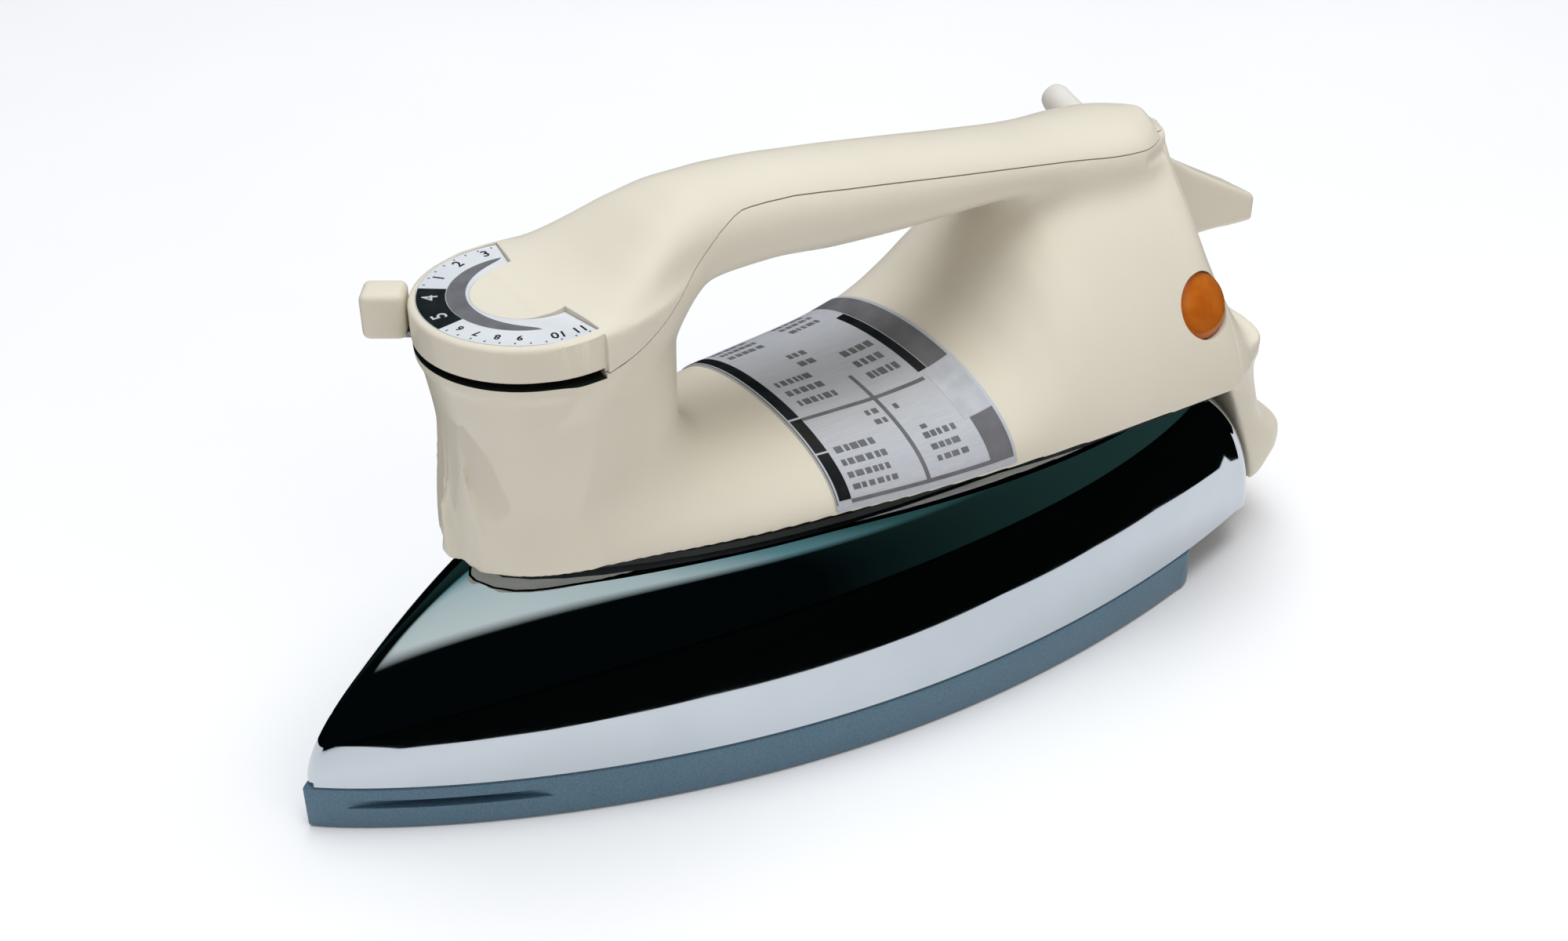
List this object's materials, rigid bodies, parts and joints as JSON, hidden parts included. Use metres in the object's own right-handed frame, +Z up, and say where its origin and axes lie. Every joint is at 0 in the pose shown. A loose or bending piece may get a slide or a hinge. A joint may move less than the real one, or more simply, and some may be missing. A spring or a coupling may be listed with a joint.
{
  "type": "dry clothes iron",
  "caption": "Heavy electric dry iron: pointed coated soleplate, chrome cover, one-piece cream handle body with a dial and selector lever, pilot lamp and heel rest.",
  "frame": {"origin": "centre of the bounding box in plan, at the height of the sole's flat underside", "axes": "+Z up off the sole, -Y towards the pointed nose, +Y towards the heel, +X to the side that carries the pilot lamp"},
  "size_m": [0.088, 0.247, 0.1192],
  "materials": {
    "cream_moulding": "smooth moulded heat-resistant plastic, satin gloss",
    "dial_scale_print": null,
    "label_plate": null,
    "amber_lens": "ribbed translucent amber lens",
    "black_phenolic": "moulded black insulating plastic",
    "bulb_glass": "clear bulb",
    "white_ceramic": "unglazed insulating ceramic",
    "grey_rubber": "soft grommet",
    "sole_casting": "cast, with a blue-grey non-stick coat",
    "element_sheath": "oxidised steel tube",
    "brass": "plain turned brass",
    "cast_iron": "rough sand-cast",
    "heat_sheet": "thin pressed heat reflector",
    "chrome_plate": "bright chrome plate, mirror smooth",
    "zinc_steel": "zinc-plated",
    "spring_steel": "rolled spring strip",
    "bimetal": "bonded strip, coppery on one face",
    "contact_silver": "silver contact button",
    "lead_sleeve": "woven glass sleeving",
    "live_sleeve": "woven glass sleeving, red"
  },
  "bodies": {
    "iron": {"handle_body": "cream_moulding", "top_cover": "cream_moulding", "heel_cover": "cream_moulding", "heel_lug": "cream_moulding", "dial_scale": "dial_scale_print", "rating_label": "label_plate", "pilot_lens": "amber_lens", "lamp_holder": "black_phenolic", "neon_bulb": "bulb_glass", "lamp_resistor": "white_ceramic", "cord_gland": "grey_rubber", "heel_cover_screw": "zinc_steel", "soleplate": "sole_casting", "heating_element": "element_sheath", "element_bead_left": "white_ceramic", "element_bead_right": "white_ceramic", "element_pin_left": "brass", "element_pin_right": "brass", "weight_plate": "cast_iron", "heat_shield": "heat_sheet", "tie_stud_front": "zinc_steel", "tie_nut_front": "zinc_steel", "plate_stud_left": "zinc_steel", "plate_nut_left": "zinc_steel", "plate_stud_right": "zinc_steel", "plate_nut_right": "zinc_steel", "chrome_cover": "chrome_plate", "tie_screw_rear_left": "zinc_steel", "tie_screw_rear_right": "zinc_steel", "base_gasket": "black_phenolic", "thermostat_base": "spring_steel", "thermostat_bridge": "spring_steel", "bimetal_root": "bimetal", "spacer_lower": "white_ceramic", "spacer_middle": "white_ceramic", "spacer_upper": "white_ceramic", "setting_arm_root": "brass", "contact_arm_root": "spring_steel", "stack_screw": "zinc_steel", "shaft_bush": "brass", "terminal_block": "black_phenolic", "terminal_screw_1": "brass", "terminal_screw_2": "brass", "terminal_screw_3": "brass", "cord_clamp": "zinc_steel", "lead_neutral": "lead_sleeve", "lead_heater": "lead_sleeve", "lead_live": "live_sleeve"},
    "selector": {"control_shaft": "spring_steel", "selector_lever": "spring_steel", "selector_knob": "cream_moulding", "detent_washer": "spring_steel"},
    "screw": {"adjusting_screw": "brass"},
    "lower_contact": {"setting_arm": "brass", "contact_lower": "contact_silver"},
    "upper_contact": {"contact_arm": "spring_steel", "contact_upper": "contact_silver"},
    "bimetal": {"bimetal_blade": "bimetal", "lifting_pin": "white_ceramic"}
  },
  "joints": [
    {"name": "selector_turn", "type": "hinge", "parent": "iron", "child": "selector", "pos_m": [0, -0.0658, 0.0966], "axis": [0, 0, 1], "range_deg": [-55, 121]},
    {"name": "screw_travel", "type": "slide", "parent": "selector", "child": "screw", "axis": [0, 0, 1], "range_m": [-0.000155, 0.00034]},
    {"name": "setting_arm_flex", "type": "hinge", "parent": "iron", "child": "lower_contact", "pos_m": [0, -0.0355, 0.0176], "axis": [1, 0, 0], "range_deg": [-0.65, 0.3]},
    {"name": "bimetal_flex", "type": "hinge", "parent": "iron", "child": "bimetal", "pos_m": [0, -0.0355, 0.0126], "axis": [1, 0, 0], "range_deg": [-1.5, 0]},
    {"name": "contact_arm_flex", "type": "hinge", "parent": "iron", "child": "upper_contact", "pos_m": [0, -0.0355, 0.0223], "axis": [1, 0, 0], "range_deg": [-1.5, 0]}
  ],
  "couplings": [
    {"joint": "screw_travel", "follows": "selector_turn", "m_per_rad": 0.00015915},
    {"joint": "setting_arm_flex", "follows": "selector_turn", "ratio": -0.00525},
    {"joint": "contact_arm_flex", "follows": "bimetal_flex", "ratio": 1}
  ]
}
